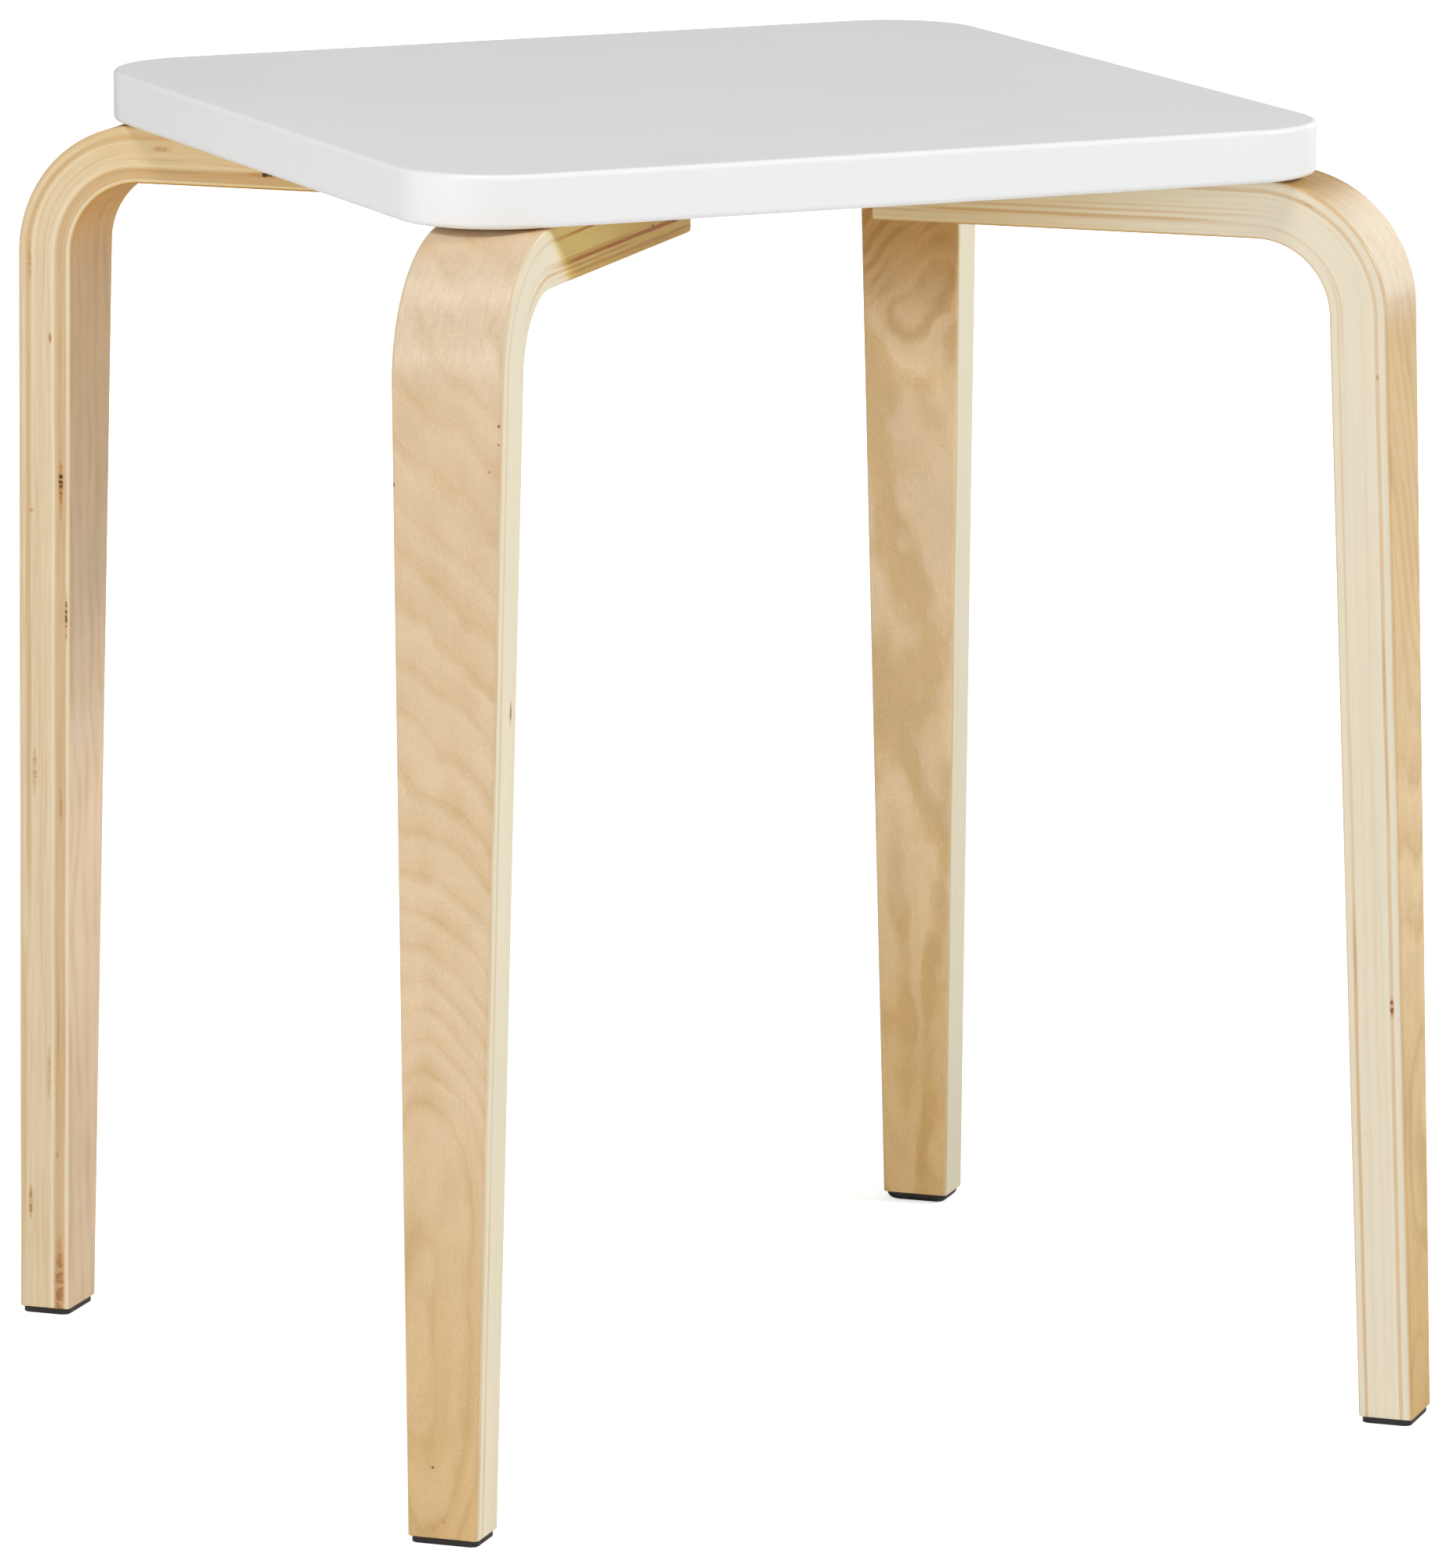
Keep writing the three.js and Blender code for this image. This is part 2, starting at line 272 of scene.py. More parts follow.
# %% Values and finishes
class Value:
    """A number or colour that comes out of a node."""

    def __init__(self, finish, socket):
        self.finish = finish
        self.socket = socket

    def sum(self, operation, first, second=0.0):
        return self.finish.add("ShaderNodeMath", {"operation": operation}, {0: first, 1: second})

    def __add__(self, other):
        return self.sum("ADD", self, other)

    def __sub__(self, other):
        return self.sum("SUBTRACT", self, other)

    def __rsub__(self, other):
        return self.sum("SUBTRACT", other, self)

    def __mul__(self, other):
        return self.sum("MULTIPLY", self, other)

    def __truediv__(self, other):
        return self.sum("DIVIDE", self, other)

    def __rtruediv__(self, other):
        return self.sum("DIVIDE", other, self)

    def __abs__(self):
        return self.sum("ABSOLUTE", self)

    __radd__ = __add__
    __rmul__ = __mul__


class Finish:
    """The nodes of a material, or of the world, under construction."""

    def __init__(self, owner):
        owner.use_nodes = True
        self.owner = owner
        self.tree = owner.node_tree
        self.tree.nodes.clear()

    def add(self, kind, settings, sockets, output=0):
        """One node: its settings first, then the value or link of each socket."""
        node = self.tree.nodes.new(kind)
        for key, value in settings.items():
            setattr(node, key, value)
        for key, value in sockets.items():
            if isinstance(value, Value):
                self.tree.links.new(value.socket, node.inputs[key])
            else:
                node.inputs[key].default_value = value
        return Value(self, node.outputs[output]) if node.outputs else None

    def place(self):
        """Where a point lies on the object, in metres."""
        return self.add("ShaderNodeTexCoord", {}, {}, "Object")

    def vector(self, x=0.0, y=0.0, z=0.0):
        return self.add("ShaderNodeCombineXYZ", {}, {0: x, 1: y, 2: z})

    def noise(self, vector, scale=1.0, detail=2.0, roughness=0.5, distortion=0.0):
        sockets = {"Vector": vector, "Scale": scale, "Detail": detail, "Roughness": roughness}
        return self.add("ShaderNodeTexNoise", {}, sockets | {"Distortion": distortion})

    def ramp(self, value, low, high):
        """0 below low, 1 above high, and an even, soft step between."""
        sockets = {"Value": value, "From Min": low, "From Max": high}
        return self.add("ShaderNodeMapRange", {"interpolation_type": "SMOOTHSTEP"}, sockets)

    def low(self, first, second):
        return self.add("ShaderNodeMath", {"operation": "MINIMUM"}, {0: first, 1: second})

    def mix(self, amount, first, second):
        """From the first colour to the second."""
        settings = {"data_type": "RGBA", "clamp_factor": True}
        return self.add("ShaderNodeMix", settings, {0: amount, 6: first, 7: second}, 2)

    def shade(self, colour, amount):
        """The colour times an amount of light and dark."""
        settings = {"data_type": "RGBA", "blend_type": "MULTIPLY"}
        grey = self.vector(amount, amount, amount)
        return self.add("ShaderNodeMix", settings, {0: 1.0, 6: colour, 7: grey}, 2)

    def tint(self, amount, first, second):
        """The first colour, partly multiplied by the second."""
        settings = {"data_type": "RGBA", "blend_type": "MULTIPLY", "clamp_factor": True}
        return self.add("ShaderNodeMix", settings, {0: amount, 6: first, 7: second}, 2)

    def bump(self, height, distance, strength=1.0):
        sockets = {"Height": height, "Distance": distance, "Strength": strength}
        return self.add("ShaderNodeBump", {}, sockets)

    def surface(self, **sockets):
        """Close the material with a Principled BSDF, and hand the material over."""
        named = {key.replace("_", " "): value for key, value in sockets.items()}
        shader = self.add("ShaderNodeBsdfPrincipled", {}, named)
        self.add("ShaderNodeOutputMaterial", {}, {"Surface": shader})
        return self.owner


def colour(red, green, blue):
    """A screen colour, 0 to 255, as the linear light that shaders reckon with."""
    screen = np.array([red, green, blue]) / 255
    linear = np.where(screen <= 0.04045, screen / 12.92, ((screen + 0.055) / 1.055) ** 2.4)
    return (*linear.tolist(), 1.0)


# %% [markdown]
# ## White lacquer
#
# The board is sprayed white. Lacquer isn't paint on paper: it pulls back a little as it dries, so
# the veneer below leaves faint streaks along its grain, and a few specks of dust stay in it. The
# streaks are a noise that is stretched along X, and they also make the gloss a little uneven.


# %% The board's finish
def white_lacquer():
    finish = Finish(bpy.data.materials.new("white_lacquer"))
    along = finish.add("ShaderNodeMapping", {}, {"Vector": finish.place(), "Scale": (6, 260, 40)})
    streaks = finish.noise(along, 1.0, 4.0, 0.6)
    clouds = finish.noise(finish.place(), 9.0, 2.0)
    peel = finish.noise(finish.place(), 900.0, 1.0)
    cells = {"Vector": finish.place(), "Scale": 34.0, "Randomness": 1.0}
    specks = finish.add("ShaderNodeTexVoronoi", {}, cells)
    dust = 1 - finish.ramp(specks, 0.010, 0.020)
    tone = 1.0 + (streaks - 0.5) * 0.022 + (clouds - 0.5) * 0.018 - dust * 0.06
    height = streaks * 0.5 + peel * 0.25
    return finish.surface(
        Base_Color=finish.shade(colour(239, 239, 239), tone),
        Roughness=0.36 + (streaks - 0.5) * 0.16 + (clouds - 0.5) * 0.08,
        Specular_IOR_Level=0.45,
        Normal=finish.bump(height, 0.02 * MM, 0.6),
    )


WHITE_LACQUER = white_lacquer()

# %% [markdown]
# ## The seat board
#
# A rounded square is carried up through the board's thickness. Where the edges are rounded over,
# the square draws in by r(1 - sin a) while it rises by r(1 - cos a), for a quarter turn of a.


# %% Making the seat board
SUPPORT = 0.4 * MM


def seat_board():
    """Rings from the underside up. A support ring beside each rounding keeps the flats flat."""
    rise, run = quarter()
    inset = SEAT_EDGE * (1 - rise)
    lift = SEAT_EDGE * (1 - run)
    inset = np.concatenate([inset, [0, 0], inset[::-1]])
    level = np.concatenate([
        BOARD_UNDERSIDE + lift,
        [BOARD_UNDERSIDE + SEAT_EDGE + SUPPORT, SEAT_TOP - SEAT_EDGE - SUPPORT],
        SEAT_TOP - lift[::-1],
    ])
    inset = np.concatenate([[SEAT_EDGE + SUPPORT], inset, [SEAT_EDGE + SUPPORT]])
    level = np.concatenate([[BOARD_UNDERSIDE], level, [SEAT_TOP]])
    side = SEAT_SIDE - 2 * inset
    outline = rounded_outline(side, side, SEAT_CORNER - inset, steps=24)
    height = np.broadcast_to(level[:, None, None], (*outline.shape[:2], 1))
    return skin("board", np.concatenate([outline, height], 2))


# %% [markdown]
# ## A bent leg
#
# The leg's path lies in one upright plane: along the arm, round a quarter turn less the splay, and
# down the post. At each station the outer and the inner point give the thickness, and the width
# shrinks down the post. The rounded rectangle between them is the ring.
#
# Wood grain follows the bend, so a pattern that is nailed to X, Y and Z would cut straight through
# it. `grain_places` therefore works out, for every point of the finished mesh, how far it lies
# along the leg, across it and below its outer face, and stores that as an attribute.

# %% The leg's path
BEND_STEPS = 64


def bend_centre(leg):
    splay = radians(leg["splay"])
    return LEG_REACH - BEND_RADIUS * (1 - sin(splay)) / cos(splay), ARM_TOP - BEND_RADIUS


def foot_level(leg):
    return GLIDES[leg["glide"]]["height"] + FIT


def sideways(leg, level):
    """How far the lean has moved the post sideways at a level."""
    return np.maximum(0, ARM_UNDERSIDE - level) * tan(radians(leg["lean"]))


def to_stool(leg, x, y, z):
    """From the leg's own plane, x outwards, to the stool's frame."""
    c, s = cos(radians(leg["heading"])), sin(radians(leg["heading"]))
    return np.stack(np.broadcast_arrays(x * c - y * s, x * s + y * c, z), -1)


def leg_rings(leg):
    """Rings from the arm's cut end to the foot.

    Arm: the points (x, top) and (x, top - thickness). Bend: the centre plus the outer and the inner
    radius times (cos a, sin a). Post: the outer face moves out by tan(splay) for each unit down,
    and thickness and width go evenly from the bend's to the foot's.
    """
    splay = radians(leg["splay"])
    bend_x, bend_z = bend_centre(leg)
    rise, run = quarter(4)
    ease = END_EASE * (1 - rise)
    step_in = END_EASE * (1 - run)

    arm_x = ARM_GAP + step_in
    arm = np.stack([arm_x, ARM_TOP + 0 * arm_x, arm_x, ARM_UNDERSIDE + 0 * arm_x], -1)

    angle = np.linspace(pi / 2, splay, BEND_STEPS + 1)
    ray = np.stack([np.cos(angle), np.sin(angle)], -1)
    inner_radius = BEND_RADIUS - LEG_THICKNESS
    bend = np.concatenate([BEND_RADIUS * ray, inner_radius * ray], -1) + [bend_x, bend_z] * 2

    foot = foot_level(leg)
    top_x, top_z = bend[-1, :2]
    level = foot + step_in[::-1]
    share = (level - foot) / (top_z - foot)
    thickness = FOOT_THICKNESS + (LEG_THICKNESS - FOOT_THICKNESS) * share
    outer_x = top_x + (top_z - level) * tan(splay)
    post = np.stack([outer_x, level, outer_x - thickness, level], -1)
    post_width = FOOT_WIDTH + (ARM_WIDTH - FOOT_WIDTH) * share

    station = np.concatenate([arm, bend, post])
    width = np.concatenate([0 * arm_x + ARM_WIDTH, 0 * angle + ARM_WIDTH, post_width])
    ease = np.concatenate([ease, 0 * angle, ease[::-1]])
    outer, inner = station[:, :2], station[:, 2:]
    thick = np.linalg.norm(outer - inner, axis=1)
    outline = rounded_outline(thick - 2 * ease, width - 2 * ease, LEG_EDGE)
    part = outline[:, :, 0] / thick[:, None] + 0.5
    flat = inner[:, None] + part[:, :, None] * (outer - inner)[:, None]
    x, z = flat[:, :, 0], flat[:, :, 1]
    return to_stool(leg, x, sideways(leg, z) - outline[:, :, 1], z)


def bolt_places(leg):
    """The two bolts stand at these shares of the arm's flat stretch."""
    bend_x, _ = bend_centre(leg)
    return [to_stool(leg, ARM_GAP + share * (bend_x - ARM_GAP), 0, 0)[:2] for share in (0.2, 0.65)]


def foot_place(leg):
    """Middle of the foot, seen from below."""
    bend_x, bend_z = bend_centre(leg)
    splay = radians(leg["splay"])
    foot = foot_level(leg)
    drop = bend_z + BEND_RADIUS * sin(splay) - foot
    outer_x = bend_x + BEND_RADIUS * cos(splay) + drop * tan(splay)
    return to_stool(leg, outer_x - FOOT_THICKNESS / 2, sideways(leg, foot), 0)[:2]


for leg_name, leg in LEGS.items():
    print(leg_name, "foot at", [round(v / MM, 1) for v in foot_place(leg)])


# %% Grain places on a finished leg
def grain_places(leg, points):
    """Millimetres along the leg from its cut end, across it, and below its outer face.

    On the arm the distance along is x. In the bend it goes on with the middle radius times the
    angle turned, and on the post with the distance down it. The depth is the distance below the
    arm's top, the bend's outer radius or the post's outer face. On the post, which gets thinner,
    it is stretched to the arm's thickness, so that the inner face is equally deep all the way.
    """
    splay = radians(leg["splay"])
    c, s = cos(radians(leg["heading"])), sin(radians(leg["heading"]))
    bend_x, bend_z = bend_centre(leg)
    x = points[:, 0] * c + points[:, 1] * s - bend_x
    across = points[:, 1] * c - points[:, 0] * s - sideways(leg, points[:, 2])
    z = points[:, 2] - bend_z
    turn = np.clip(pi / 2 - np.arctan2(z, x), 0, pi / 2 - splay)
    middle = BEND_RADIUS - LEG_THICKNESS / 2
    below = x * sin(splay) - z * cos(splay)
    out = x * cos(splay) + z * sin(splay)
    regions = [x < 0, below < 0]
    arm = bend_x - ARM_GAP
    post = arm + middle * (pi / 2 - splay) + below
    along = np.select(regions, [arm + x, arm + middle * turn], post)
    depth = BEND_RADIUS - np.select(regions, [z, np.hypot(x, z)], out)
    drop = BEND_RADIUS * sin(splay) - z
    whole_drop = bend_z + BEND_RADIUS * sin(splay) - foot_level(leg)
    loss = (LEG_THICKNESS - FOOT_THICKNESS) * drop / whole_drop
    depth = depth * LEG_THICKNESS / (LEG_THICKNESS - np.maximum(0, loss))
    return np.stack([along, across, depth], -1) / MM


def store_grain(leg, piece):
    mesh = piece.data
    points = np.empty(len(mesh.vertices) * 3)
    mesh.vertices.foreach_get("co", points)
    grain = mesh.attributes.new("grain", "FLOAT_VECTOR", "POINT")
    grain.data.foreach_set("vector", grain_places(leg, points.reshape(-1, 3)).ravel())


# %% [markdown]
# ## Birch
#
# Birch veneer is peeled off a turning log, like paper off a roll. Where the knife leaves one yearly
# layer and enters the next, the broad face shows a soft line. The lines therefore run like contour
# lines on a map: across the leg, round a hump in an oval, or in long fingers. So the material first
# makes a height map of the face, from a slope, a few humps and some noise, and then draws a line
# at each whole number.
#
# On the narrow sides the stack is cut through, and each veneer shows as a fine thread of cream or
# tan that follows the bend. Each leg has its own figure, so its humps, bands and knots are given
# for each leg, in millimetres along, across and below the outer face.

# %% Birch colours and places
BROWN = colour(180, 114, 32)
DARK = colour(52, 40, 34)
LINE = colour(238, 230, 210)
# Painted sheen: the pale of the mottled patches on the bends.
SHEEN_PALE = colour(213, 201, 178)
# Painted shade: the arms' yellow-brown in the board's shade, and a darker shade towards their cut
# ends and inside the bend.
SHADE_GOLD = colour(252, 226, 140)
SHADED = colour(206, 180, 130)
INNER_FACE = LEG_THICKNESS / MM  # its depth below the outer face
BEND_MIDDLE = 174  # how far it lies along a leg


# %% The growth lines of a broad face
def growth_lines(finish, along, across, seed, slope, tilt, turn, stop, wobble, soft, humps):
    """The growth lines (0 on plain wood, 1 on a line) and the faint streaks that run beside them.

    The height is slope * along + tilt * across, where the tilt fades out over the stretch `turn`
    and the slope ends at `stop`. A hump adds height / (1 + q * q), q = (a / length)^2 +
    (c / breadth)^2. wobble: how far noise bends the lines. soft: from 0, narrow lines with a
    darker slope on one side, to 1, wide and even ones. The lines are worn away in patches.
    """
    shape = finish.vector(along * 0.022, across * 0.05, seed)
    level = finish.low(along, stop) * slope + (finish.noise(shape, 1.0, 1.0, 0.4) - 0.5) * wobble
    level = level + across * tilt * finish.ramp(along, turn[1], turn[0])
    ripple = finish.noise(finish.vector(along * 0.11, across * 0.24, seed + 3), 1.0, 2.0, 0.5)
    level = level + (ripple - 0.5) * 0.3
    for start, middle, length, breadth, height in humps:
        a, c = (along - start) / length, (across - middle) / breadth
        q = a * a + c * c
        level = level + height / (1.0 + q * q)
    part = finish.add("ShaderNodeMath", {"operation": "FRACT"}, {0: level})
    rise = finish.ramp(part, 0.2, 0.9) * (1 - finish.ramp(part, 0.9, 1.0))
    near = 1 - finish.ramp(finish.low(part, 1 - part), 0.0, 0.2 + soft * 0.27)
    patches = finish.noise(finish.vector(along * 0.035, across * 0.05, seed + 20), 1.0, 1.0)
    kept = 0.35 + finish.ramp(patches, 0.35, 0.6) * 0.65
    beside = finish.vector(level * 2.4, (along + across) * 0.03, seed + 9)
    streaks = finish.noise(beside, 1.0, 3.0, 0.6) - 0.5
    return rise * 0.45 * (1 - soft) + near * kept * (0.55 + 0.35 * soft), streaks


# %% The broad faces
def broad_faces(finish, grain, seed, outer, inner, fade, pale, contrast, figure):
    """The colour of the outer and inner faces, and the lines, fibre and flecks in it.

    outer and inner: the colours at the bend, halfway and at the foot. At the bend the inner faces
    are darker, as painted shade under the board. fade: where the first turns into the second.
    pale: how much painted sheen pales the bend, in mottled patches. contrast: how strongly the
    lines show outside at the bend, outside at the foot, and inside.
    """
    along, across, depth = grain
    is_inner = finish.ramp(depth, 8.0, 12.0)
    # Painted sheen: a band round the middle of each bend, paled in mottled patches; it is a little
    # glossier too.
    sheen_band = 1 - finish.ramp(abs(along - BEND_MIDDLE), 9.0, 26.0)
    lines, streaks = growth_lines(finish, along, across, seed, **figure)
    fibre = finish.noise(finish.vector(along * 0.05, across * 2.4, seed + depth), 1.0, 3.0, 0.65)
    fleck = finish.noise(finish.vector(along * 1.0, across * 1.4, seed + 11), 1.0, 2.0, 0.6)
    cloud = finish.noise(finish.vector(along * 0.028, across * 0.06, seed + 7), 1.0, 2.0)
    sheen_mottle_place = finish.vector(along * 0.22, across * 0.42, seed + 15)
    sheen_mottle = finish.noise(sheen_mottle_place, 1.0, 2.0, 0.6)

    bend, middle, foot = (
        finish.mix(is_inner, colour(*out), colour(*back)) for out, back in zip(outer, inner)
    )
    face = finish.mix(finish.ramp(along, *fade), bend, middle)
    face = finish.mix(finish.ramp(along, 390.0, 560.0), face, foot)
    outside = contrast[0] + finish.ramp(along, 180.0, 420.0) * (contrast[1] - contrast[0])
    strength = outside * (1 - is_inner) + is_inner * contrast[2]
    face = finish.tint((lines - 0.3 + (cloud - 0.5) * 2.0) * strength + 0.3, face, LINE)
    # Painted sheen: the bend is paled, and mottled lighter and darker.
    face = finish.mix(sheen_band * (sheen_mottle + 0.5) * pale, face, SHEEN_PALE)
    light = 1.0 + (fleck - 0.5) * 0.3 + (fibre - 0.5) * 0.12 + sheen_band * (sheen_mottle - 0.42) * 0.25
    gloss = 0.34 + (fibre - 0.5) * 0.14 + lines * 0.04 - sheen_band * 0.04
    return finish.shade(face, light + streaks * strength * 0.2), gloss, fibre, fleck


# %% The cut veneers of a narrow side
def narrow_sides(finish, grain, seed, side, tone, lively, bands):
    """The colour of the cut stack, and the fine threads in it.

    side: its cream and its tan. tone: how far it lies from cream (0) to tan (1) and brown (2).
    lively: how much that varies. bands: (depth, half breadth, change of tone, from, to), where
    from and to are places along.
    """
    along, across, depth = grain
    layer = finish.noise(finish.vector(along * 0.004, 0.0, depth * 0.45 + seed), 1.0, 2.0, 0.55)
    fine = finish.vector(along * 0.012, across * 0.02, depth * 2.6 + seed)
    thread = finish.noise(fine, 1.0, 3.0, 0.7)
    coarse = finish.vector(along * 0.03, across * 0.02, depth * 1.3 + seed)
    streak = finish.noise(coarse, 1.0, 2.0, 0.6)
    tone = tone + (layer - 0.5) * 0.8 + (thread - 0.5 + streak - 0.5) * lively
    drift = finish.noise(finish.vector(along * 0.012, 0.0, seed), 1.0, 1.0) - 0.5
    for middle, breadth, change, start, end in bands:
        inside = 1 - finish.ramp(abs(depth - middle - drift), breadth * 0.5, breadth * 1.5)
        reach = finish.ramp(along, start - 12, start + 12) * finish.ramp(along, end + 20, end - 20)
        tone = tone + inside * reach * (1.0 + drift) * change
    edge = finish.mix(finish.ramp(tone, 0.0, 1.0), colour(*side[0]), colour(*side[1]))
    edge = finish.mix(finish.ramp(tone, 0.9, 2.1), edge, BROWN)
    return finish.shade(edge, 1.0 + (thread - 0.5) * 0.1), thread


# %% Knots
def knots(finish, wood, grain, seed, on_side, marks):
    """Brown stains and dark knots: (face, along, place, half length, half breadth, darkness).

    The place is a depth on a side, and a distance across on a broad face. A knot's edge is where
    (a / length)^2 + (c / breadth)^2 plus some noise comes to 1. A knot over 0.45 dark has a dark
    core in its brown stain. On a side the veneers' ends break the core into ticks.
    """
    along, across, depth = grain
    frayed = finish.vector(along * 0.8, across * 1.1, depth * 1.6 + seed)
    ragged = finish.noise(frayed, 1.0, 2.0, 0.6) - 0.5
    crosswise = finish.vector(along * 0.55, 0.0, depth * 0.1 + seed)
    ticks = finish.ramp(finish.noise(crosswise, 1.0, 1.0), 0.46, 0.52)
    broken = 1 - on_side * (1 - ticks)
    outer = finish.ramp(depth, 1.0, 0.5)
    inner = finish.ramp(depth, INNER_FACE - 1.0, INNER_FACE - 0.5)
    faces = {"side": on_side, "outer": outer, "inner": inner}
    for face, start, place, length, breadth, darkness in marks:
        a = (along - start) / length
        c = ((depth if face == "side" else across) - place) / breadth
        spread = a * a + c * c + ragged * 1.1
        core = (1 - finish.ramp(spread, 0.4, 1.0)) * faces[face]
        stain = (1 - finish.ramp(spread, 0.4, 2.4)) * faces[face]
        wood = finish.mix(stain * (0.6 + broken * 0.4) * min(0.7, darkness), wood, BROWN)
        wood = finish.mix(core * core * broken * max(0.0, darkness - 0.45) * 1.8, wood, DARK)
    return wood


# %% [markdown]
# The arms lie in the board's shade, where the light that comes off the wood itself makes it look
# yellow-brown. That is painted shade, part of the colour here, and so is a darker painted shade
# towards each arm's cut end and inside the bend. A leg's arm shade says how strong the
# yellow-brown is on the arm, between which places along it comes in, and how strong it is on the
# arm's underside and inside the bend.


# %% Birch for one leg
def birch(name, seed, faces, side, tone, arm_shade, bands, marks):
    """Birch whose figure follows the leg's grain attribute."""
    finish = Finish(bpy.data.materials.new("birch_" + name))
    attribute = finish.add("ShaderNodeAttribute", {"attribute_name": "grain"}, {}, "Vector")
    parts = finish.add("ShaderNodeSeparateXYZ", {}, {"Vector": attribute}).socket.node
    grain = along, across, depth = [Value(finish, parts.outputs[axis]) for axis in "XYZ"]
    on_side = finish.ramp(finish.low(depth, INNER_FACE - depth), 0.15, 0.6)
    under = finish.ramp(depth, INNER_FACE - 1.0, INNER_FACE - 0.5)

    amount, start, end, below = arm_shade
    # Painted shade: yellow-brown where the board shades the arm and on its inner face up to the
    # bend, darker still towards the arm's cut end and inside the bend.
    gold_shade = finish.ramp(along + depth, start, end) * amount
    gold_shade = gold_shade + under * finish.ramp(along, 208.0, 164.0) * below
    shaded = gold_shade * finish.ramp(along - under * 80.0, 120.0, 30.0) * 0.7

    face, gloss, fibre, fleck = broad_faces(finish, grain, seed, **faces)
    lively = 0.35 + tone + gold_shade * 0.7
    edge, thread = narrow_sides(finish, grain, seed, side, tone, lively, bands)
    wood = finish.mix(on_side, face, edge)
    # The painted shade goes into the colour.
    wood = finish.tint(gold_shade, wood, SHADE_GOLD)
    wood = finish.tint(shaded, wood, SHADED)
    wood = knots(finish, wood, grain, seed, on_side, marks)
    return finish.surface(
        Base_Color=wood,
        Roughness=gloss + gold_shade * 0.25,
        Specular_IOR_Level=0.3,
        Normal=finish.bump(fibre * 0.6 + thread * on_side * 0.5 + fleck * 0.3, 0.05 * MM, 0.5),
    )
